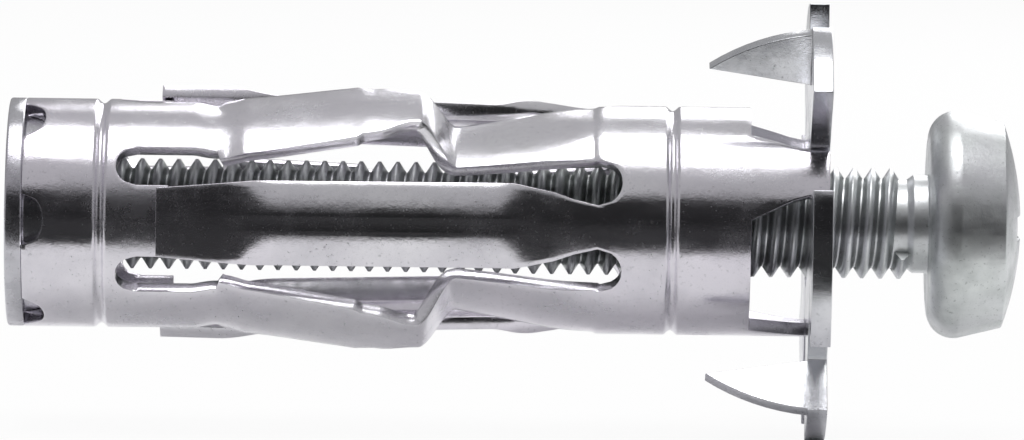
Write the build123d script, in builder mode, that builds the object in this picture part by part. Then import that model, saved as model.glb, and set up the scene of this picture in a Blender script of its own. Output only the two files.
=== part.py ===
"""Metal hollow wall anchor: a slit sheet sleeve with a spiked collar, a nut and a machine screw.

The frame: X is the axis of the wall hole, with the screw head at +X and the nut at -X. The origin is
the middle of the collar's outer face, the face that stays flush with the wall. +Z is up. Angles about
the axis start at +Y and grow towards +Z.
"""

import os
from math import cos, radians, sin, sqrt

from build123d import *

os.makedirs("parts", exist_ok=True)

# Sleeve: a rolled sheet tube, cut into six legs between two whole rings
sleeve_radius = 5.0
sheet = 0.55
sleeve_length = 35.05
repeats = 3
repeat_angles = [k * 360 / repeats for k in range(repeats)]
strap_angle = 60.0
leg_angle = 0.0
lug_angle = 30.0

# Nut ring, at the sleeve's blind end, with half-round notches in its rim
nut_ring_length = 4.95
nut_ring_end = nut_ring_length - sleeve_length
rim_notch_radius = 1.1
rim_notch_depth = 0.9
rim_notch_count = 6
left_slot_end_radius = 0.9
groove_width = 0.5
groove_depth = 0.2
nut_groove_x = nut_ring_end - 1.6

# Collar ring, at the room end, with three lugs that reach into the collar
collar_ring_start = -10.05
collar_ring_end = -3.4
bulb_radius = 1.05
bulb_offset_angle = 23.0
root_overlap = 0.4
collar_groove_x = -6.8
lug_root_half_width = 2.2
lug_tip_half_width = 1.17

# Straps: every other leg, rooted on the collar ring and free at the nut end
strap_end_x = nut_ring_end + left_slot_end_radius
strap_lap = 0.5
strap_gap = 0.02
strap_end_half_width = 1.55
strap_half_width = 1.86
strap_root_half_width = 0.92
strap_shoulder = 0.35
strap_widest_start_x = strap_end_x + 4.2
strap_widest_end_x = collar_ring_start - 3.65

# Folding legs: the other three, whole from ring to ring, with the bend that makes them fold outward
leg_half_width = 1.8
wing_half_width = 2.25
wing_end_half_width = 1.95
wing_start_x = nut_ring_end + 3.5
wing_end_x = wing_start_x + 6.1
knee_x = wing_end_x + 2.4
knee_rise = 0.85
knee_radius = sleeve_radius + knee_rise
knee_half_width = 1.2
waist_half_length = 1.3
knee_run_out = 0.25
elbow_x = knee_x + 1.8
elbow_drop = 1.15
elbow_radius = sleeve_radius - elbow_drop
tongue_start_half_width = 1.55
tongue_end_half_width = 2.1

# Collar: a flat washer with lug notches and three spikes folded towards the wall
collar_radius = 9.6
collar_thickness = 0.87
lug_clearance = 0.03
lug_notch_rim_half_width = 2.6
lug_notch_skew = 4.5
spike_angle = 114.0
spike_cut_angle = 24.0
spike_root_radius = 7.0
spike_tip_radius = 7.8
spike_length = 4.45
spike_thickness = 0.6
spike_rim_setback = 0.05
spike_crown = 0.55

# Nut: a round threaded barrel inside the nut ring, with a thin flange that closes the sleeve's end
nut_radial_clearance = 0.03
nut_flange_thickness = 0.75
nut_mouth_chamfer = 0.25

# Screw: M5 x 40 with a pan head and a cross recess
screw_radius = 2.42
thread_clearance = 0.03
collar_hole_clearance = 0.38
screw_tip_depth = 0.23
head_gap = 4.43
neck_radius = 2.15
neck_length = 0.93
tip_chamfer = 0.4
head_radius = 4.97
head_height = 4.07
head_edge_height = 1.37
head_bearing_radius = 3.9
head_rim_height = 3.27
head_rim_radius = 4.5
recess_span = 5.0
recess_floor_span = 2.3
recess_slot = 1.0
recess_floor_slot = 0.8
recess_depth = 2.7

sleeve_bore_radius = sleeve_radius - sheet
nut_bore_radius = screw_radius + thread_clearance
collar_hole_radius = screw_radius + collar_hole_clearance
nut_end_x = -sleeve_length - nut_flange_thickness


def axial_plane(angle):
    """A plane that holds the axis: local x is X, and local y is the radius at this angle."""
    tilt = radians(angle)
    return Plane(origin=(0, 0, 0), x_dir=(1, 0, 0), z_dir=(0, -sin(tilt), cos(tilt)))


def facing_plane(angle):
    """A plane square to the radius at this angle: local x is X, and local z points outward."""
    tilt = radians(angle)
    return Plane(origin=(0, 0, 0), x_dir=(1, 0, 0), z_dir=(0, cos(tilt), sin(tilt)))


def mirrored(upper):
    """The whole outline from its upper half: the same points again below the centre line."""
    return upper + [(x, -y) for x, y in reversed(upper)]


def turned_sheet(outer_line):
    """Sheet that follows outer_line, turned all the way round the axis."""
    with BuildSketch(Plane.XY) as section:
        with BuildLine():
            Polyline(*outer_line)
            offset(amount=sheet, side=Side.RIGHT)
        make_face()
    revolve(section.sketch, axis=Axis.X)


def trim_to(outline, angle):
    """Keep only what lies under this outline, seen along the radius, at each repeat of this angle."""
    with BuildPart(mode=Mode.PRIVATE) as stencils:
        for turn in repeat_angles:
            with BuildSketch(facing_plane(turn + angle).offset(sleeve_radius / 4)) as plan:
                with BuildLine():
                    Polyline(*outline, close=True)
                make_face()
            extrude(plan.sketch, amount=2 * sleeve_radius)
    add(stencils.part, mode=Mode.INTERSECT)


def ring(start, end, groove):
    """A whole ring of the sleeve, with one swaged groove that shows on both faces."""
    half = groove_width / 2
    outer = [
        (start, sleeve_radius),
        (groove - half, sleeve_radius),
        (groove, sleeve_radius - groove_depth),
        (groove + half, sleeve_radius),
        (end, sleeve_radius),
    ]
    inner = [(x, y - sheet) for x, y in reversed(outer)]
    with BuildSketch(Plane.XY) as section:
        with BuildLine():
            Polyline(*outer, *inner, close=True)
        make_face()
    revolve(section.sketch, axis=Axis.X)


def radial_hole(x, angle, radius):
    """A round hole through one wall of the sleeve."""
    with BuildSketch(facing_plane(angle)) as hole:
        with Locations((x, 0)):
            Circle(radius)
    extrude(hole.sketch, amount=2 * sleeve_radius, mode=Mode.SUBTRACT)


def polar(radius, angle, across=0.0):
    """A point of the collar's plane: out along the radius at this angle, then square to it."""
    turn = radians(angle)
    return (radius * cos(turn) - across * sin(turn), radius * sin(turn) + across * cos(turn))


# Straps: they rise by a sheet's thickness, so that their free ends lap over the nut ring's tongues
with BuildPart() as straps:
    lap_radius = sleeve_radius + sheet + strap_gap
    root_x = collar_ring_start + root_overlap
    turned_sheet([(strap_end_x, lap_radius), (collar_ring_start, sleeve_radius), (root_x, sleeve_radius)])
    trim_to(
        mirrored(
            [
                (strap_end_x, strap_end_half_width),
                (strap_widest_start_x, strap_half_width),
                (strap_widest_end_x, strap_half_width),
                (collar_ring_start - bulb_radius, strap_root_half_width + strap_shoulder),
                (collar_ring_start, strap_root_half_width),
                (root_x, strap_root_half_width),
            ]
        ),
        strap_angle,
    )

# Folding legs: flat at the nut end, out to the knee, in through the elbow, out to the collar ring
with BuildPart() as legs:
    turned_sheet(
        [
            (nut_ring_end, sleeve_radius),
            (wing_start_x, sleeve_radius),
            (knee_x - waist_half_length, knee_radius - knee_run_out),
            (knee_x, knee_radius),
            (knee_x + waist_half_length / 2, knee_radius - knee_run_out),
            (elbow_x, elbow_radius),
            (collar_ring_start, sleeve_radius),
            (root_x, sleeve_radius),
        ]
    )
    trim_to(
        mirrored(
            [
                (nut_ring_end, leg_half_width),
                (wing_start_x, leg_half_width),
                (wing_start_x, wing_half_width),
                (wing_end_x, wing_end_half_width),
                (wing_end_x, leg_half_width),
                (knee_x - waist_half_length, tongue_start_half_width),
                (knee_x - waist_half_length / 2, knee_half_width),
                (knee_x + waist_half_length / 2, knee_half_width),
                (elbow_x - 0.3, tongue_start_half_width),
                (collar_ring_start, tongue_end_half_width),
                (root_x, tongue_end_half_width),
            ]
        ),
        leg_angle,
    )

# Tongues: the stubs of the nut ring that the straps' free ends lap over
with BuildPart() as tongues:
    turned_sheet([(nut_ring_end, sleeve_radius), (strap_end_x + strap_lap, sleeve_radius)])
    trim_to(
        mirrored([(nut_ring_end, leg_half_width), (strap_end_x + strap_lap, leg_half_width)]),
        strap_angle,
    )

# Lugs: the collar ring's sheet carried on, tapering on both sides, to the collar's outer face
with BuildPart() as lugs:
    turned_sheet([(collar_ring_end, sleeve_radius), (0, sleeve_radius)])
    trim_to(
        mirrored(
            [
                (collar_ring_end, lug_root_half_width),
                (collar_ring_end * 0.75, lug_root_half_width * 0.84),
                (-collar_thickness, lug_tip_half_width),
                (0, lug_tip_half_width),
            ]
        ),
        lug_angle,
    )

# Sleeve: both rings, three straps, three folding legs and three lugs, all of one sheet
with BuildPart() as sleeve:
    ring(-sleeve_length, nut_ring_end, nut_groove_x)
    ring(collar_ring_start, collar_ring_end, collar_groove_x)
    for piece in (tongues, straps, legs, lugs):
        add(piece.part)
    for turn in repeat_angles:
        for side in (-1, 1):
            radial_hole(nut_ring_end, turn + strap_angle + side * 180 / (2 * repeats), left_slot_end_radius)
            radial_hole(collar_ring_start, turn + strap_angle + side * bulb_offset_angle, bulb_radius)
    for notch in range(rim_notch_count):
        centre = rim_notch_depth - rim_notch_radius - sleeve_length
        radial_hole(centre, notch * 360 / rim_notch_count, rim_notch_radius)
sleeve.part.label = "sleeve"
export_step(sleeve.part, "parts/sleeve.step")

# Collar: the washer that stays flush with the wall, with its spikes folded out of their own cuts
with BuildPart() as collar:
    beyond = collar_radius + 1
    notch_half = lug_tip_half_width + lug_clearance
    notch_root = sqrt(sleeve_bore_radius**2 - notch_half**2) - lug_clearance
    with BuildSketch(Plane.YZ.offset(-collar_thickness)):
        Circle(collar_radius)
        Circle(collar_hole_radius, mode=Mode.SUBTRACT)
        for turn in repeat_angles:
            lug_at = turn + lug_angle
            rim_at = lug_at + lug_notch_skew
            with BuildLine():
                Polyline(
                    polar(notch_root, lug_at, -notch_half),
                    polar(sleeve_radius, lug_at, -notch_half),
                    polar(beyond, rim_at, -lug_notch_rim_half_width),
                    polar(beyond, rim_at, lug_notch_rim_half_width),
                    polar(sleeve_radius, lug_at, notch_half),
                    polar(notch_root, lug_at, notch_half),
                    close=True,
                )
            make_face(mode=Mode.SUBTRACT)
            spike_at = turn + spike_angle
            with BuildLine():
                Polyline(
                    polar(spike_root_radius, spike_at),
                    polar(beyond, spike_at),
                    polar(beyond, spike_at - spike_cut_angle),
                    polar(spike_root_radius, spike_at - spike_cut_angle),
                    close=True,
                )
            make_face(mode=Mode.SUBTRACT)
    extrude(amount=collar_thickness)
    for turn in repeat_angles:
        with BuildSketch(axial_plane(turn + spike_angle)):
            tip = (-collar_thickness - spike_length, spike_tip_radius)
            root_inner = (-collar_thickness / 2, spike_root_radius)
            root_outer = (-collar_thickness / 2, collar_radius - spike_rim_setback)
            with BuildLine():
                Polyline(root_outer, root_inner, tip)
                ThreePointArc(tip, (tip[0] * 0.55, collar_radius - spike_crown), root_outer)
            make_face()
        extrude(amount=spike_thickness)
collar.part.label = "collar"
export_step(collar.part, "parts/collar.step")

# Nut: the barrel fills the nut ring up to the groove, and the flange covers the ring's end
with BuildPart() as nut:
    nut_inner_x = nut_groove_x - groove_width / 2
    barrel_radius = sleeve_bore_radius - nut_radial_clearance
    with BuildSketch(Plane.XY):
        with BuildLine():
            Polyline(
                (nut_end_x, nut_bore_radius),
                (nut_end_x, sleeve_radius),
                (-sleeve_length, sleeve_radius),
                (-sleeve_length, barrel_radius),
                (nut_inner_x, barrel_radius),
                (nut_inner_x, nut_bore_radius),
                close=True,
            )
        make_face()
    revolve(axis=Axis.X)
    mouths = nut.edges().filter_by(GeomType.CIRCLE).group_by(SortBy.RADIUS)[0]
    chamfer(mouths, length=nut_mouth_chamfer)
nut.part.label = "nut"
export_step(nut.part, "parts/nut.step")

# Screw: the shank at its thread's outer size, a thinner neck, and a pan head with a cross recess
with BuildPart() as screw:
    tip_x = nut_end_x + screw_tip_depth
    thread_end_x = head_gap - neck_length
    rim_x = head_gap + head_rim_height
    top_x = head_gap + head_height
    with BuildSketch(Plane.XY):
        with BuildLine():
            Polyline(
                (top_x, 0),
                (tip_x, 0),
                (tip_x, screw_radius - tip_chamfer),
                (tip_x + tip_chamfer, screw_radius),
                (thread_end_x, screw_radius),
                (thread_end_x + screw_radius - neck_radius, neck_radius),
                (head_gap, neck_radius),
                (head_gap, head_bearing_radius),
            )
            edge_x = head_gap + head_edge_height
            edge_middle = (
                head_gap + 0.3 * head_edge_height,
                head_bearing_radius + 0.75 * (head_radius - head_bearing_radius),
            )
            ThreePointArc((head_gap, head_bearing_radius), edge_middle, (edge_x, head_radius))
            Line((edge_x, head_radius), (rim_x, head_rim_radius))
            dome_middle = (rim_x + 0.75 * (top_x - rim_x), head_rim_radius / 2)
            ThreePointArc((rim_x, head_rim_radius), dome_middle, (top_x, 0))
        make_face()
    revolve(axis=Axis.X)
    for quarter in (0, 90):
        with BuildSketch(Plane.YZ.offset(top_x - recess_depth)):
            Rectangle(recess_floor_span, recess_floor_slot, rotation=quarter)
        with BuildSketch(Plane.YZ.offset(top_x)):
            Rectangle(recess_span, recess_slot, rotation=quarter)
        loft(mode=Mode.SUBTRACT)
screw.part.label = "screw"
export_step(screw.part, "parts/screw.step")
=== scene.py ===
"""Hollow wall anchor in bright zinc: a slit sleeve, a spiked collar, a swaged nut and a machine screw."""

from math import asin, cos, hypot, pi, radians, sin, sqrt

import bmesh
import bpy
from mathutils import Matrix, Vector


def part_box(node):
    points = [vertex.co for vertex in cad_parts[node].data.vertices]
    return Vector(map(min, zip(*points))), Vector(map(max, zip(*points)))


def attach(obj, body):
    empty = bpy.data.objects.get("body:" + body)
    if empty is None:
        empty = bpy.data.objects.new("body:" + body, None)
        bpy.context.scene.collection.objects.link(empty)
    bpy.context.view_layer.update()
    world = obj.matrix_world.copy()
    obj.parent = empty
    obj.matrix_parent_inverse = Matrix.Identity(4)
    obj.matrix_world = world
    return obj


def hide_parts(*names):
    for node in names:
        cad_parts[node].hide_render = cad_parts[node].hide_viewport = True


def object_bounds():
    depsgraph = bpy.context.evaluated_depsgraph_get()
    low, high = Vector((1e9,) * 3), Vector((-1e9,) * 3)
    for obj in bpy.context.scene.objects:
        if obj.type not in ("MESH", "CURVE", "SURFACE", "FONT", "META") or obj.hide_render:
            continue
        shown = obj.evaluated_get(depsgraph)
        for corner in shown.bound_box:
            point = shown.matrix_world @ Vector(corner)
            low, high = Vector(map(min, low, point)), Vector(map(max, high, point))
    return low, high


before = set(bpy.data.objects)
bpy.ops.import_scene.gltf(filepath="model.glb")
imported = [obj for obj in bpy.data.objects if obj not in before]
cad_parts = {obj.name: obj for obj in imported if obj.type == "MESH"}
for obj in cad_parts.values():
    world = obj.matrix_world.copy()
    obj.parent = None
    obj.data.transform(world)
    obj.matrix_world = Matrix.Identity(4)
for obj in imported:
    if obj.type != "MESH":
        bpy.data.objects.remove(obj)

cad_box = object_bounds()

# --- Sleeve -------------------------------------------------------------------------------------
# One strip of thin steel sheet, pierced, rolled into a tube and zinc plated. Three straps are free at
# their nut end, and three legs are kinked so that they fold outward when the screw pulls on the nut.


class Wire:
    """A shader socket that Python's operators work on. Without a socket it only adds nodes."""

    def __init__(self, nodes, links, socket=None):
        self.nodes, self.links, self.socket = nodes, links, socket

    def node(self, kind, settings, inputs, output=0):
        """Add a node of any type, with its settings first and then its inputs, as a value or a Wire."""
        made = self.nodes.new(kind)
        for name, value in settings.items():
            if name == "stops":
                for element, (place, colour) in zip(made.color_ramp.elements, value):
                    element.position = place
                    element.color = (*colour, 1)
            else:
                setattr(made, name, value)
        for name, value in inputs.items():
            if isinstance(value, Wire):
                self.links.new(value.socket, made.inputs[name])
            else:
                made.inputs[name].default_value = value
        return Wire(self.nodes, self.links, made.outputs[output])

    def maths(self, operation, first, second=0.0):
        return self.node("ShaderNodeMath", {"operation": operation}, {0: first, 1: second})

    def __add__(self, other):
        return self.maths("ADD", self, other)

    def __radd__(self, other):
        return self.maths("ADD", other, self)

    def __sub__(self, other):
        return self.maths("SUBTRACT", self, other)

    def __rsub__(self, other):
        return self.maths("SUBTRACT", other, self)

    def __mul__(self, other):
        return self.maths("MULTIPLY", self, other)

    def __rmul__(self, other):
        return self.maths("MULTIPLY", other, self)


def zinc_plate(name, tint, shade, roughness, blotch_mm, grain_depth_mm):
    """Bright zinc: fine plated grain, cloudy patches that dull it, a faint lilac cast and rubbed spots."""
    material = bpy.data.materials.new(name)
    material.use_nodes = True
    nodes, links = material.node_tree.nodes, material.node_tree.links
    shader = nodes["Principled BSDF"]
    shader.inputs["Metallic"].default_value = 1.0
    tree = Wire(nodes, links)
    place = tree.node("ShaderNodeTexCoord", {}, {}, "Object")

    def noise(size_mm, detail, rough, stretch=1.0):
        at = tree.node("ShaderNodeMapping", {}, {"Vector": place, "Scale": (stretch, 1, 1)})
        sizes = {"Vector": at, "Scale": 1000 / size_mm, "Detail": detail, "Roughness": rough}
        return tree.node("ShaderNodeTexNoise", {}, sizes)

    def ramp(value, low, high):
        stops = [(low, (0, 0, 0)), (high, (1, 1, 1))]
        return tree.node("ShaderNodeValToRGB", {"stops": stops}, {"Fac": value})

    clouds = ramp(noise(blotch_mm, 5.0, 0.6), 0.38, 0.66)
    cast = ramp(noise(blotch_mm * 2.7, 2.0, 0.5, 0.6), 0.35, 0.65)
    specks = ramp(noise(0.16, 3.0, 0.7), 0.6, 0.72)
    wrinkles = noise(0.55, 6.0, 0.72)
    draw_lines = noise(0.22, 4.0, 0.6, 0.12)

    def mix(factor, first, second):
        """Blend two colours, each a Wire or its red, green and blue."""
        first, second = (c if isinstance(c, Wire) else (*c, 1) for c in (first, second))
        return tree.node("ShaderNodeMix", {"data_type": "RGBA"}, {0: factor, 6: first, 7: second}, 2)

    lilac = tuple(a * b for a, b in zip(tint, (0.985, 0.955, 1.0)))
    plated = mix(cast, tint, lilac)
    clouded = mix(clouds * 0.55, plated, shade)
    speckled = mix(specks * 0.5, clouded, tuple(0.45 * c for c in shade))
    links.new(speckled.socket, shader.inputs["Base Color"])
    rough = roughness + clouds * 0.16 + specks * 0.15 + (draw_lines - 0.5) * 0.1
    links.new(rough.socket, shader.inputs["Roughness"])
    height = noise(0.11, 4.0, 0.65) * 0.5 + draw_lines * 0.4 + wrinkles * 2.6
    grain = {"Height": height, "Distance": grain_depth_mm / 1000, "Strength": 0.6}
    bump = tree.node("ShaderNodeBump", {}, grain)
    links.new(bump.socket, shader.inputs["Normal"])
    return material


def rounded(piece, edge_mm, segments=2, angle=30):
    """Break a piece's stamped or turned edges by a small radius, and shade it smooth."""
    for face in piece.data.polygons:
        face.use_smooth = True
    bevel = piece.modifiers.new("broken edges", "BEVEL")
    bevel.width = edge_mm / 1000
    bevel.segments = segments
    bevel.limit_method = "ANGLE"
    bevel.angle_limit = radians(angle)
    normals = piece.modifiers.new("flat faces stay flat", "WEIGHTED_NORMAL")
    normals.keep_sharp = True


def plain_mesh(piece):
    """Replace a piece's mesh by what its modifiers make of it, and take the modifiers off."""
    shown = piece.evaluated_get(bpy.context.evaluated_depsgraph_get())
    made = bpy.data.meshes.new_from_object(shown)
    piece.modifiers.clear()
    piece.data = made
    return piece


def new_piece(name, vertices, faces, material):
    """A piece from corners in millimetres."""
    mesh = bpy.data.meshes.new(name)
    mesh.from_pydata([tuple(c / 1000 for c in v) for v in vertices], [], faces)
    mesh.materials.append(material)
    piece = bpy.data.objects.new(name, mesh)
    bpy.context.scene.collection.objects.link(piece)
    return piece


def on_curve(table, x):
    """The value at x, on straight runs between the (x, value) pairs."""
    if x <= table[0][0]:
        return table[0][1]
    for (x0, v0), (x1, v1) in zip(table, table[1:]):
        if x <= x1:
            part = (x - x0) / (x1 - x0)
            return v0 + (v1 - v0) * part
    return table[-1][1]


sleeve_zinc = zinc_plate("bright_zinc_sheet", (0.90, 0.89, 0.92), (0.66, 0.65, 0.70), 0.13, 3.2, 0.006)

# Lengths are in millimetres, and places along the axis are x from the collar's outer face
sheet = 0.55
tube = 5.0
blind_end = 1000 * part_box("sleeve")[0].x
slot_start, slot_end = blind_end + 4.95, -10.05
ring_end = -3.4
slot_round, bulb_round = 0.9, 1.05
strap_tip = slot_start + slot_round
knee = slot_start + 12.0
elbow = knee + 1.8
third = 2 * pi / 3
knee_rise, elbow_drop, dent_depth = 0.85, 2.0, 0.16
foot_rise, foot_slope, foot_limit = 0.35, 0.8, 1.15
leg_flatness, wing_lift = 4.0, 0.12
lap_clearance = 0.03


def soft(x, middle, reach):
    """1 at the middle, falling smoothly to 0 at reach on either side."""
    d = min(abs(x - middle) / reach, 1)
    return (1 - d * d) ** 2


def step(x, start, end):
    """0 before start, 1 after end, and a smooth rise between them."""
    t = min(max((x - start) / (end - start), 0), 1)
    return t * t * (3 - 2 * t)


def leg_radius(x):
    """The folding leg's outer radius: flat, a dent, a slow rise to the knee, the elbow, and out again."""
    rise = step(x, slot_start + 3.2, knee) * knee_rise
    dent = -dent_depth * soft(x, slot_start + 3.6, 1.2)
    fall = -step(x, knee + 0.25, elbow + 0.15) * elbow_drop
    back = step(x, elbow - 0.6, slot_end + 2.2) * foot_rise
    back += max(0, (x - elbow) / (slot_end - elbow)) * foot_slope
    return tube + rise + dent + fall + min(back, foot_limit)


def leg_half(x):
    """Half the folding leg's width: the sheared wing, the waist at the knee, and the widening tongue."""
    plain = on_curve(
        [(slot_start, 1.8), (slot_start + 3.5, 1.8), (slot_start + 3.56, 2.25), (slot_start + 9.6, 1.95),
         (slot_start + 9.66, 1.78), (knee - 1.2, 1.62), (elbow - 0.6, 1.5), (elbow, 1.58), (slot_end, 2.1)],
        x,
    )
    return plain - 0.42 * soft(x, knee + 0.1, 1.5)


def strap_half(x):
    """Half the strap's width: pinched flat at its free end, parallel, then narrowing between the bulbs."""
    return on_curve(
        [(strap_tip, 1.5), (strap_tip + 4.2, 1.84), (slot_end - 3.65, 1.86), (slot_end - 1.9, 1.5),
         (slot_end - bulb_round, 1.2), (slot_end, 0.95)],
        x,
    )


def strap_radius(x):
    """The strap's outer radius: it rises by a sheet's thickness to lap over the tongue."""
    return tube + (sheet + lap_clearance) * (slot_end - x) / (slot_end - strap_tip)


def leg_point(x, across, turn):
    """A point of a folding leg's outer face, across from -1 to 1 over its width."""
    radius, half = leg_radius(x), leg_half(x) * across
    flat = step(x, knee - 3, knee) * (1 - step(x, slot_end - 2.5, slot_end))
    bent = radius + flat * leg_flatness
    out = bent * cos(asin(half / bent)) - flat * leg_flatness
    winged = step(x, slot_start + 3.5, slot_start + 3.7) * (1 - step(x, knee - 2.6, knee - 1.6))
    lift = wing_lift * abs(across) ** 3 * winged
    return (x, out + lift, half, turn)


def strap_point(x, across, turn):
    """A point of a strap's outer face: flattened, with a shallow crease that tips its halves outward."""
    radius, half = strap_radius(x), strap_half(x) * across
    creased = step(x, strap_tip + 2.6, strap_tip + 5.2) * (1 - step(x, slot_end - 4.6, slot_end - 2.6))
    flat = (1 - step(x, slot_end - 4.5, slot_end)) * (1 - creased)
    out = radius - (radius - sqrt(radius**2 - half**2)) * (1 - 0.75 * flat)
    out -= creased * (0.16 * abs(across) - 0.08 * (1 - abs(across)) + 0.13 * soft(across, 0, 0.16))
    return (x, out, half, turn)


def placed(point):
    """Turn a point given as x, distance out and distance across into the sleeve's own place."""
    x, out, across, turn = point
    return (x, out * cos(turn) - across * sin(turn), out * sin(turn) + across * cos(turn))


class Pattern:
    """One third of the sheet, laid out as strips with rows along the axis and columns across it.

    Strips that are one sheet share their border's corners.
    """

    def __init__(self):
        self.corners, self.faces, self.known = [], [], {}

    def corner(self, point):
        key = tuple(round(c, 4) for c in point)
        if key not in self.known:
            self.known[key] = len(self.corners)
            self.corners.append(point)
        return self.known[key]

    def strip(self, rows):
        """Faces between rows of points. Each row has as many points as the next."""
        marks = [[self.corner(p) for p in row] for row in rows]
        for a, b in zip(marks, marks[1:]):
            for i in range(len(a) - 1):
                loop = [a[i], a[i + 1], b[i + 1], b[i]]
                unique = list(dict.fromkeys(loop))
                if len(unique) > 2:
                    self.faces.append(unique)


def spaced(start, end, count):
    """Even steps from start to end, both included."""
    return [start + (end - start) * i / count for i in range(count + 1)]


groove_depth, groove_reach, groove_margin = 0.2, 0.32, 0.36
no_groove = 99


def groove(x, at):
    """How far the swaged groove sinks the ring's outer face."""
    return -groove_depth * soft(x, at, groove_reach)


def tube_point(x, angle, swage):
    """A point of a ring's outer face, which has one groove."""
    radius = tube + groove(x, swage)
    return (x, radius * cos(angle), radius * sin(angle))


pattern = Pattern()
leg_columns, gap_columns = 14, 12
strap_columns = 14

# Where the strips meet the rings: half angles of the leg, the tongue and the strap at each ring
leg_start_angle = asin(leg_half(slot_start) / tube)
tongue_angle = pi / 3 - leg_start_angle - 2 * asin(slot_round / tube)
leg_end_angle = asin(leg_half(slot_end) / tube)
strap_root_angle = asin(strap_half(slot_end) / tube)


def ring_angles(first_half, second_half):
    """The third's angles from the middle of a leg to the middle of the next, by leg, gap, strap, gap, leg."""
    stops = [0, first_half, pi / 3 - second_half, pi / 3 + second_half, third - first_half, third]
    counts = [leg_columns // 2, gap_columns, strap_columns, gap_columns, leg_columns // 2]
    angles = [0.0]
    for a, b, n in zip(stops, stops[1:], counts):
        angles += spaced(a, b, n)[1:]
    return angles


def round_end(angle, centre, half, reach):
    """How far a slot's round end cuts into the ring at this angle."""
    t = abs(angle - centre) / half
    return reach * sqrt(max(0, 1 - t * t))


def ring_rows(angles, start_edge, end_edge, swage, before, after):
    """Rows of a ring: even runs up to and beyond its groove, and close straight rows across the groove."""
    near, far = swage - groove_margin, swage + groove_margin
    rows = [[tube_point(start_edge(a) + (near - start_edge(a)) * t, a, swage) for a in angles]
            for t in spaced(0, 1, before)]
    rows += [[tube_point(x, a, swage) for a in angles] for x in spaced(near, far, 12)[1:]]
    rows += [[tube_point(far + (end_edge(a) - far) * t, a, swage) for a in angles]
             for t in spaced(0, 1, after)[1:]]
    return rows


# Nut ring: its rim has a half-round notch in line with each leg and strap
nut_angles = ring_angles(leg_start_angle, tongue_angle)
first_gap = (leg_start_angle + pi / 3 - tongue_angle) / 2
gap_half = first_gap - leg_start_angle


notch_half, notch_depth = 1.12, 0.92


def nut_rim(angle):
    """The blind end's edge, with its notches."""
    nearest = min(abs(angle - k * pi / 3) for k in range(3))
    across = nearest * tube / notch_half
    return blind_end + notch_depth * sqrt(max(0, 1 - across * across)) ** 0.8


def nut_edge(angle):
    """The nut ring's inner edge, where the slots end."""
    cut = max(round_end(angle, g, gap_half, slot_round) for g in (first_gap, third - first_gap))
    return slot_start - cut


nut_swage = slot_start - 1.6
pattern.strip(ring_rows(nut_angles, nut_rim, nut_edge, nut_swage, 14, 3))

# Collar ring: its slot ends are round bulbs, and its other edge is plain between the lugs
collar_angles = ring_angles(leg_end_angle, strap_root_angle)
second_gap = (leg_end_angle + pi / 3 - strap_root_angle) / 2
bulb_half = second_gap - leg_end_angle


def collar_edge(angle):
    """The collar ring's inner edge, where the slots end in bulbs."""
    cut = max(round_end(angle, g, bulb_half, bulb_round) for g in (second_gap, third - second_gap))
    return slot_end + cut


collar_swage = -6.8
pattern.strip(ring_rows(collar_angles, collar_edge, lambda angle: ring_end, collar_swage, 8, 12))

# Folding leg, as two halves at the third's two ends, then the strap and the tongue under its tip
leg_xs = spaced(slot_start, slot_end, 150)
half_across = spaced(0, 1, leg_columns // 2)


def seated(point, x, angle):
    """On the ring's border a strip's point is the ring's own."""
    swages = {slot_start: nut_swage, slot_end: collar_swage}
    return tube_point(x, angle, swages[x]) if x in swages else point


def leg_row(x, side, turn):
    """Half a folding leg's row of points, from its middle to one edge."""
    row = []
    for t in half_across:
        point = placed(leg_point(x, side * t, turn))
        half = leg_start_angle if x == slot_start else leg_end_angle
        row.append(seated(point, x, turn + side * half * t))
    return row


pattern.strip([leg_row(x, 1, 0.0) for x in leg_xs])
pattern.strip([leg_row(x, -1, third) for x in leg_xs])

strap_across = spaced(-1, 1, strap_columns)
strap_xs = spaced(strap_tip, slot_end, 110)


def strap_row(x):
    """A strap's row of points, from edge to edge."""
    row = []
    for t in strap_across:
        point = placed(strap_point(x, t, pi / 3))
        row.append(seated(point, x, pi / 3 + strap_root_angle * t))
    return row


pattern.strip([strap_row(x) for x in strap_xs])
tongue_xs = spaced(slot_start, strap_tip + 0.5, 8)
pattern.strip(
    [[tube_point(x, pi / 3 + tongue_angle * t, nut_swage) for t in strap_across] for x in tongue_xs]
)

# Lug: it grows out of the collar ring's edge, between two legs, and tapers to the collar
lug_turn = pi / 6
lug_points = [a for a in collar_angles if abs(a - lug_turn) <= 0.46]


def lug_row(x):
    """The lug's row of points, which draws in towards its middle."""
    reach = on_curve(
        [(ring_end, 1.0), (ring_end * 0.8, 0.86), (ring_end * 0.45, 0.62), (-0.9, 0.53), (0.0, 0.53)], x
    )
    middle = (lug_points[-1] + lug_points[0]) / 2
    along = (x - ring_end) / -ring_end
    centre = middle + (lug_turn - middle) * min(1, 2 * along)
    return [tube_point(x, centre + (a - middle) * reach, no_groove) for a in lug_points]


pattern.strip([lug_row(x) for x in spaced(ring_end, 0, 20)])

sleeve = new_piece("sleeve_sheet", pattern.corners, pattern.faces, sleeve_zinc)


weld_mm = 0.008


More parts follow.
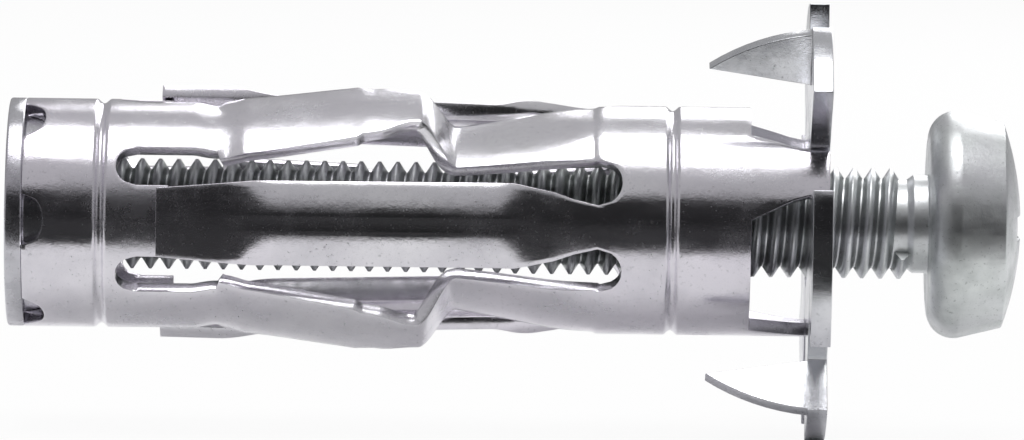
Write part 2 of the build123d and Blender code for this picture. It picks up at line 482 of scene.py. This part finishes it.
def repeat_round(piece, copies, material):
    """Geometry Nodes: copies of one third of the sheet turned about the axis and welded into one."""
    tree = bpy.data.node_groups.new("thirds_round_the_axis", "GeometryNodeTree")
    face = tree.interface
    face.new_socket("Geometry", in_out="INPUT", socket_type="NodeSocketGeometry")
    count = face.new_socket("Copies", in_out="INPUT", socket_type="NodeSocketInt")
    weld = face.new_socket("Weld distance", in_out="INPUT", socket_type="NodeSocketFloat")
    face.new_socket("Geometry", in_out="OUTPUT", socket_type="NodeSocketGeometry")
    add, link = tree.nodes.new, tree.links.new
    start, end = add("NodeGroupInput"), add("NodeGroupOutput")
    points = add("GeometryNodeMeshLine")
    points.inputs["Offset"].default_value = (0, 0, 0)
    link(start.outputs["Copies"], points.inputs["Count"])
    index = add("GeometryNodeInputIndex")
    share = add("ShaderNodeMath")
    share.operation = "DIVIDE"
    link(index.outputs[0], share.inputs[0])
    link(start.outputs["Copies"], share.inputs[1])
    angle = add("ShaderNodeMath")
    angle.operation = "MULTIPLY"
    angle.inputs[1].default_value = 2 * pi
    link(share.outputs[0], angle.inputs[0])
    turn = add("ShaderNodeCombineXYZ")
    link(angle.outputs[0], turn.inputs["X"])
    copies_made = add("GeometryNodeInstanceOnPoints")
    link(points.outputs[0], copies_made.inputs["Points"])
    link(start.outputs["Geometry"], copies_made.inputs["Instance"])
    link(turn.outputs[0], copies_made.inputs["Rotation"])
    real = add("GeometryNodeRealizeInstances")
    link(copies_made.outputs[0], real.inputs[0])
    merged = add("GeometryNodeMergeByDistance")
    link(real.outputs[0], merged.inputs["Geometry"])
    link(start.outputs["Weld distance"], merged.inputs["Distance"])
    paint = add("GeometryNodeSetMaterial")
    paint.inputs["Material"].default_value = material
    link(merged.outputs[0], paint.inputs["Geometry"])
    link(paint.outputs[0], end.inputs[0])
    modifier = piece.modifiers.new("thirds", "NODES")
    modifier.node_group = tree
    modifier[count.identifier] = copies
    modifier[weld.identifier] = weld_mm / 1000


repeat_round(sleeve, 3, sleeve_zinc)
plain_mesh(sleeve)
shell = bmesh.new()
shell.from_mesh(sleeve.data)
bmesh.ops.recalc_face_normals(shell, faces=shell.faces)
probe = max(shell.faces, key=lambda f: f.calc_center_median().x)
middle = probe.calc_center_median()
if probe.normal.y * middle.y + probe.normal.z * middle.z < 0:
    bmesh.ops.reverse_faces(shell, faces=shell.faces)
shell.to_mesh(sleeve.data)
shell.free()
thick = sleeve.modifiers.new("sheet thickness", "SOLIDIFY")
thick.thickness = sheet / 1000
thick.offset = -1
thick.use_even_offset = True
rounded(sleeve, 0.06, 2, 40)
plain_mesh(sleeve)
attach(sleeve, "anchor")
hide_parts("sleeve")

# --- Collar -------------------------------------------------------------------------------------
# A stamped washer of thicker sheet. Its three spikes are folded out of their own cuts, and bite into
# the board so that the sleeve can't turn. The sleeve's lugs are staked in its notches.


def softened_copy(node, name, edge_mm, material, body, reshape=None):
    """A welded copy of a CAD node with its edges broken, as stamping and turning leave them."""
    piece = bpy.data.objects.new(name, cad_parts[node].data.copy())
    bpy.context.scene.collection.objects.link(piece)
    work = bmesh.new()
    work.from_mesh(piece.data)
    bmesh.ops.remove_doubles(work, verts=work.verts, dist=2e-6)
    bmesh.ops.dissolve_limit(work, angle_limit=radians(1.0), verts=work.verts, edges=work.edges)
    if reshape:
        reshape(work)
    work.to_mesh(piece.data)
    work.free()
    piece.data.materials.clear()
    piece.data.materials.append(material)
    rounded(piece, edge_mm, 3, 32)
    plain_mesh(piece)
    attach(piece, body)
    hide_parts(node)
    return piece


collar_zinc = zinc_plate("bright_zinc_washer", (0.76, 0.77, 0.79), (0.42, 0.43, 0.46), 0.12, 2.2, 0.006)
softened_copy("collar", "collar_washer", 0.09, collar_zinc, "anchor")

# --- Nut ----------------------------------------------------------------------------------------
# A turned steel nut, pushed into the sleeve's blind end and held there by the swaged groove. Its thin
# flange covers the end of the sheet.
nut_zinc = zinc_plate("bright_zinc_nut", (0.70, 0.70, 0.73), (0.40, 0.40, 0.43), 0.16, 1.8, 0.01)
softened_copy("nut", "swaged_nut", 0.1, nut_zinc, "anchor")

# --- Screw --------------------------------------------------------------------------------------
# A cold-headed steel machine screw with a pan head and a rolled thread, zinc plated. It holds only by
# its thread in the nut.
screw_zinc = zinc_plate("dull_zinc_screw", (0.76, 0.79, 0.78), (0.50, 0.53, 0.52), 0.3, 1.6, 0.008)
thread_root, thread_crest, thread_pitch = 1.95, 2.42, 0.8
thread_start, thread_end, neck_start = 1000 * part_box("screw")[0].x + 0.35, 3.3, 3.6


def cut_to_root(work):
    """Thin the shank to the thread's root, up to the neck."""
    for corner in work.verts:
        radius = 1000 * hypot(corner.co.y, corner.co.z)
        if radius > thread_root and 1000 * corner.co.x < neck_start:
            corner.co.y *= thread_root / radius
            corner.co.z *= thread_root / radius


def roll_thread(piece, material):
    """Geometry Nodes: one ridge swept along a helix about the axis, joined to the piece."""
    tree = bpy.data.node_groups.new("rolled_thread", "GeometryNodeTree")
    face = tree.interface
    face.new_socket("Geometry", in_out="INPUT", socket_type="NodeSocketGeometry")
    sizes = {}
    for name, value in (
        ("Start", thread_start / 1000),
        ("Length", (thread_end - thread_start) / 1000),
        ("Turns", (thread_end - thread_start) / thread_pitch),
        ("Ridge radius", (thread_root + thread_crest) / 2000),
        ("Ridge height", (thread_crest - thread_root) / 1000),
        ("Ridge foot", 0.92 * thread_pitch / 1000),
        ("Ridge crest", 0.14 * thread_pitch / 1000),
    ):
        socket = face.new_socket(name, in_out="INPUT", socket_type="NodeSocketFloat")
        sizes[socket.identifier] = value
    face.new_socket("Geometry", in_out="OUTPUT", socket_type="NodeSocketGeometry")
    add, link = tree.nodes.new, tree.links.new
    start, end = add("NodeGroupInput"), add("NodeGroupOutput")
    helix = add("GeometryNodeCurveSpiral")
    helix.inputs["Resolution"].default_value = 48
    link(start.outputs["Turns"], helix.inputs["Rotations"])
    link(start.outputs["Ridge radius"], helix.inputs["Start Radius"])
    link(start.outputs["Ridge radius"], helix.inputs["End Radius"])
    link(start.outputs["Length"], helix.inputs["Height"])
    level = add("GeometryNodeSetCurveNormal")
    level.mode = "Z_UP"
    link(helix.outputs[0], level.inputs["Curve"])
    ridge = add("GeometryNodeCurvePrimitiveQuadrilateral")
    ridge.mode = "TRAPEZOID"
    link(start.outputs["Ridge height"], ridge.inputs["Height"])
    link(start.outputs["Ridge foot"], ridge.inputs["Bottom Width"])
    link(start.outputs["Ridge crest"], ridge.inputs["Top Width"])
    ridge.inputs["Offset"].default_value = 0
    upright = add("GeometryNodeTransform")
    upright.inputs["Rotation"].default_value = (0, 0, pi / 2)
    link(ridge.outputs[0], upright.inputs[0])
    swept = add("GeometryNodeCurveToMesh")
    swept.inputs["Fill Caps"].default_value = True
    link(level.outputs[0], swept.inputs["Curve"])
    link(upright.outputs[0], swept.inputs["Profile Curve"])
    start_place = add("ShaderNodeCombineXYZ")
    link(start.outputs["Start"], start_place.inputs["X"])
    along = add("GeometryNodeTransform")
    along.inputs["Rotation"].default_value = (0, pi / 2, 0)
    link(swept.outputs[0], along.inputs[0])
    link(start_place.outputs[0], along.inputs["Translation"])
    joined = add("GeometryNodeJoinGeometry")
    link(along.outputs[0], joined.inputs[0])
    link(start.outputs["Geometry"], joined.inputs[0])
    real = add("GeometryNodeRealizeInstances")
    link(joined.outputs[0], real.inputs[0])
    paint = add("GeometryNodeSetMaterial")
    paint.inputs["Material"].default_value = material
    link(real.outputs[0], paint.inputs["Geometry"])
    link(paint.outputs[0], end.inputs[0])
    modifier = piece.modifiers.new("thread", "NODES")
    modifier.node_group = tree
    for identifier, value in sizes.items():
        modifier[identifier] = value


screw = softened_copy("screw", "pan_head_screw", 0.08, screw_zinc, "screw", cut_to_root)
roll_thread(screw, screw_zinc)
plain_mesh(screw)

# --- Floor, light and camera --------------------------------------------------------------------
# A pale floor under the anchor, soft lamps above and behind it, and a dark flag on the camera's side,
# which gives the bright metal its dark band. The camera is a long lens, almost level with the anchor.
floor_z = cad_box[0][2]


def flat_material(name, colour, camera_white):
    """A matt colour, which the camera alone sees partly or wholly as white."""
    material = bpy.data.materials.new(name)
    material.use_nodes = True
    nodes, links = material.node_tree.nodes, material.node_tree.links
    shader = nodes["Principled BSDF"]
    shader.inputs["Base Color"].default_value = (*colour, 1)
    shader.inputs["Roughness"].default_value = 0.9
    tree = Wire(nodes, links)
    matt = Wire(nodes, links, shader.outputs[0])
    glow = tree.node("ShaderNodeEmission", {}, {"Color": (1, 1, 1, 1)})
    ray = tree.node("ShaderNodeLightPath", {}, {}, "Is Camera Ray")
    both = tree.node("ShaderNodeMixShader", {}, {0: ray * camera_white, 1: matt, 2: glow})
    links.new(both.socket, nodes["Material Output"].inputs["Surface"])
    return material


def card(name, corners, faces, material):
    """A flat or folded card that belongs to the studio and not to the anchor."""
    mesh = bpy.data.meshes.new(name)
    mesh.from_pydata(corners, [], faces)
    mesh.materials.append(material)
    flat = bpy.data.objects.new(name, mesh)
    bpy.context.scene.collection.objects.link(flat)
    return flat


pale = flat_material("pale_floor", (0.92, 0.92, 0.92), 0.93)
reach = 3
floor_corners = [
    (-reach, -reach, floor_z), (reach, -reach, floor_z), (reach, reach, floor_z), (-reach, reach, floor_z)
]
card("floor", floor_corners, [(0, 1, 2, 3)], pale)

dark = flat_material("dark_flag", (0.006, 0.006, 0.007), 0.0)
flag_low, flag_near, flag_far, flag_top = floor_z + 0.0004, -0.019, -0.22, 0.115
flag_left, flag_right = -0.2, 0.17
flag_corners = [
    (flag_left, flag_near, flag_low), (flag_right, flag_near, flag_low),
    (flag_right, flag_far, flag_low), (flag_left, flag_far, flag_low),
    (flag_right, flag_far, flag_top), (flag_left, flag_far, flag_top),
]
flag = card("dark_flag", flag_corners, [(0, 1, 2, 3), (3, 2, 4, 5)], dark)
flag.visible_camera = False
flag.visible_diffuse = False
flag.visible_shadow = False

world = bpy.data.worlds.new("studio")
bpy.context.scene.world = world
world.use_nodes = True
sky = world.node_tree.nodes["Background"]
sky_tree = Wire(world.node_tree.nodes, world.node_tree.links)
way = sky_tree.node("ShaderNodeTexCoord", {}, {}, "Generated")
height = sky_tree.node("ShaderNodeSeparateXYZ", {}, {0: way}, "Z")
level_sky, top_sky = (0.40, 0.40, 0.408), (0.55, 0.55, 0.561)
shades = sky_tree.node("ShaderNodeValToRGB", {"stops": [(0.0, level_sky), (1.0, top_sky)]}, {0: height})
world.node_tree.links.new(shades.socket, sky.inputs["Color"])
sky.inputs["Strength"].default_value = 0.85


def lamp(name, place, aim, size, power):
    """A square soft lamp that faces the point it is aimed at."""
    light = bpy.data.lights.new(name, "AREA")
    light.size, light.energy = size, power
    holder = bpy.data.objects.new(name, light)
    bpy.context.scene.collection.objects.link(holder)
    holder.location = place
    holder.rotation_euler = (Vector(aim) - Vector(place)).to_track_quat("-Z", "Y").to_euler()


middle_x = (cad_box[0][0] + cad_box[1][0]) / 2
lamp("softbox_above", (middle_x, -0.06, 0.35), (middle_x, 0, 0), 0.22, 0.55)
lamp("softbox_behind", (middle_x + 0.1, 0.3, 0.2), (middle_x, 0, 0), 0.25, 0.4)

camera_data = bpy.data.cameras.new("long_lens")
camera = bpy.data.objects.new("long_lens", camera_data)
bpy.context.scene.collection.objects.link(camera)
bpy.context.scene.camera = camera
distance, elevation, roll = 0.42, radians(4), radians(0.8)
view_width = 0.0449
sensor = 36
camera_data.sensor_width = sensor
camera_data.lens = sensor * distance / view_width
camera_data.clip_start, camera_data.clip_end = 0.01, 10
target = Vector((-0.01378, 0, -0.00007))
camera.location = target + Vector((0, -distance * cos(elevation), distance * sin(elevation)))
aim = (target - camera.location).to_track_quat("-Z", "Y").to_matrix().to_4x4()
camera.rotation_euler = (aim @ Matrix.Rotation(roll, 4, "Z")).to_euler()
bpy.context.scene.view_settings.view_transform = "Standard"
